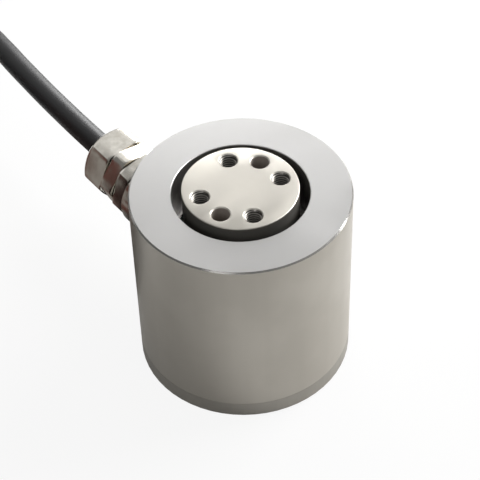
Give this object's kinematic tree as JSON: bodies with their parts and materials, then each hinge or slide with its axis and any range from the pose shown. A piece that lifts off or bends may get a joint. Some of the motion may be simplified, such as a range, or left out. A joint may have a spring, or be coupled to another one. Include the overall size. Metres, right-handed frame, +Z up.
{
  "type": "multi-axis force sensor",
  "caption": "Round multi-axis force sensor: a recessed loading platform with threaded and dowel holes in a squat housing, with a side cable gland and a black cable stored in a tied coil.",
  "frame": {"origin": "centre of the base plate's underside, on the body's axis", "axes": "+Z up along the body's axis, out of the loading platform; +X and +Y through the platform's threaded holes, with the cable gland on the wall at 110.5 degrees from +X"},
  "size_m": [0.1912, 0.1889, 0.059],
  "materials": {
    "housing_metal": "fine bead-blasted, clear anodised",
    "platform_metal": "fine turned, clear anodised",
    "base_metal": "fine bead-blasted, clear anodised",
    "element_metal": "milled and ground",
    "nickel": "bright nickel plate over brass",
    "screw_steel": "blackened steel",
    "black_rubber": "matt",
    "clamp_plastic": "satin moulded",
    "cable_jacket": "satin extruded",
    "gauge_film": "satin film",
    "board_green": "solder mask",
    "tie_plastic": "satin moulded",
    "tinned_copper": "tinned strands",
    "core_white": "thin extruded insulation",
    "core_brown": "thin extruded insulation",
    "core_green": "thin extruded insulation",
    "core_yellow": "thin extruded insulation",
    "core_grey": "thin extruded insulation",
    "core_pink": "thin extruded insulation",
    "core_blue": "thin extruded insulation",
    "core_red": "thin extruded insulation"
  },
  "bodies": {
    "root": {"adapter_seal": "black_rubber", "base_plate": "base_metal", "base_screw_1": "screw_steel", "base_screw_2": "screw_steel", "base_screw_3": "screw_steel", "base_screw_4": "screw_steel", "base_screw_5": "screw_steel", "base_screw_6": "screw_steel", "base_seal": "black_rubber", "board_screw_1": "screw_steel", "board_screw_2": "screw_steel", "board_screw_3": "screw_steel", "cable": "cable_jacket", "cable_coil": "cable_jacket", "cable_inside": "cable_jacket", "cable_tail": "cable_jacket", "cable_tie_1": "tie_plastic", "cable_tie_2": "tie_plastic", "core_bundle": "cable_jacket", "drain_wire": "tinned_copper", "flexure": "element_metal", "flying_lead_1": "core_white", "flying_lead_2": "core_brown", "flying_lead_3": "core_green", "flying_lead_4": "core_yellow", "flying_lead_5": "core_grey", "flying_lead_6": "core_pink", "flying_lead_7": "core_blue", "flying_lead_8": "core_red", "gauge_lead_1": "cable_jacket", "gauge_lead_2": "cable_jacket", "gauge_lead_3": "cable_jacket", "gauge_lead_4": "cable_jacket", "gland_adapter": "nickel", "gland_body": "nickel", "gland_clamp": "clamp_plastic", "gland_grommet": "black_rubber", "gland_nut": "nickel", "heat_shrink": "black_rubber", "housing": "housing_metal", "load_platform": "platform_metal", "platform_bolt": "screw_steel", "platform_pin_1": "screw_steel", "platform_pin_2": "screw_steel", "retaining_ring": "element_metal", "strain_gauge_1": "gauge_film", "strain_gauge_10": "gauge_film", "strain_gauge_11": "gauge_film", "strain_gauge_12": "gauge_film", "strain_gauge_2": "gauge_film", "strain_gauge_3": "gauge_film", "strain_gauge_4": "gauge_film", "strain_gauge_5": "gauge_film", "strain_gauge_6": "gauge_film", "strain_gauge_7": "gauge_film", "strain_gauge_8": "gauge_film", "strain_gauge_9": "gauge_film", "terminal_board": "board_green"}
  },
  "joints": []
}
